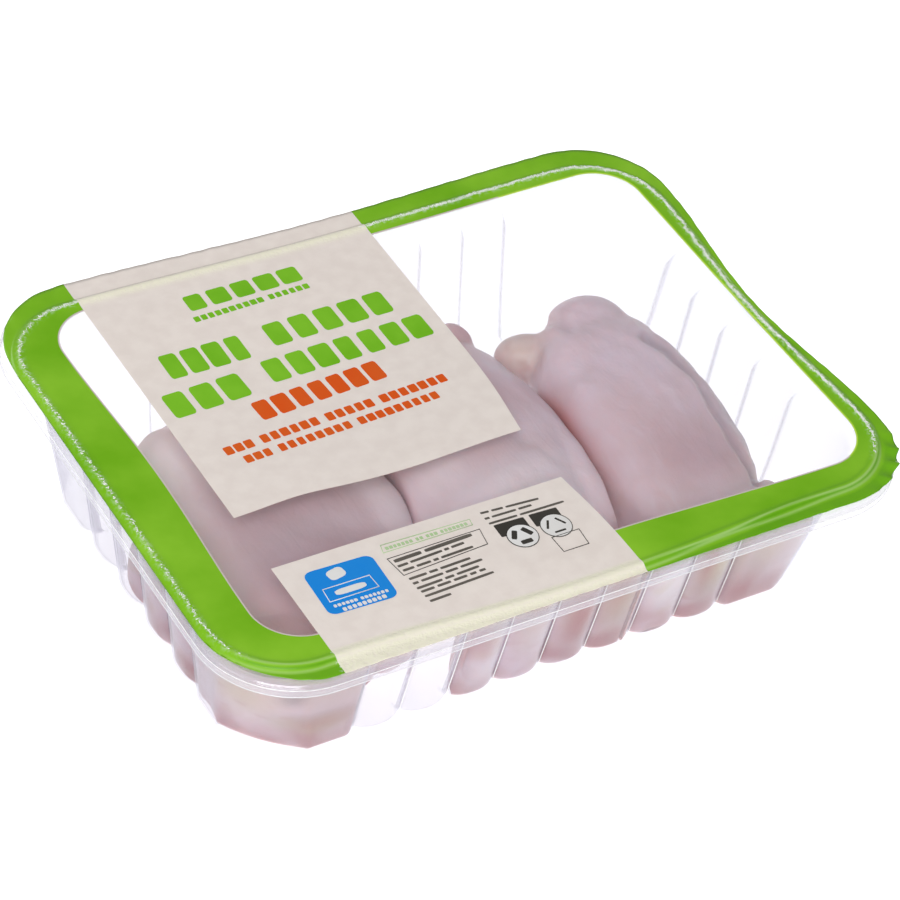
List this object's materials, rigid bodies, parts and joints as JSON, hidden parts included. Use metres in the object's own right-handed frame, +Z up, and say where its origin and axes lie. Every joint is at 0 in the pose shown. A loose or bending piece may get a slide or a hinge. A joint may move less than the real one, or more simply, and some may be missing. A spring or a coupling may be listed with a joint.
{
  "type": "sealed tray of raw chicken thighs",
  "caption": "Clear ribbed plastic tray of raw skin-on chicken thighs under a sealed, printed lidding film.",
  "frame": {"origin": "middle of the pack's bounding box, on the surface that the tray stands on", "axes": "+X along the long front side to the right, +Y to the back, +Z up"},
  "size_m": [0.227, 0.1762, 0.0516],
  "materials": {
    "clear_tray": "gloss",
    "printed_film": "gloss",
    "raw_skin": "satin"
  },
  "bodies": {
    "root": {"tray": "clear_tray", "film": "printed_film", "thigh_left": "raw_skin", "thigh_middle": "raw_skin", "thigh_right": "raw_skin"}
  },
  "joints": []
}
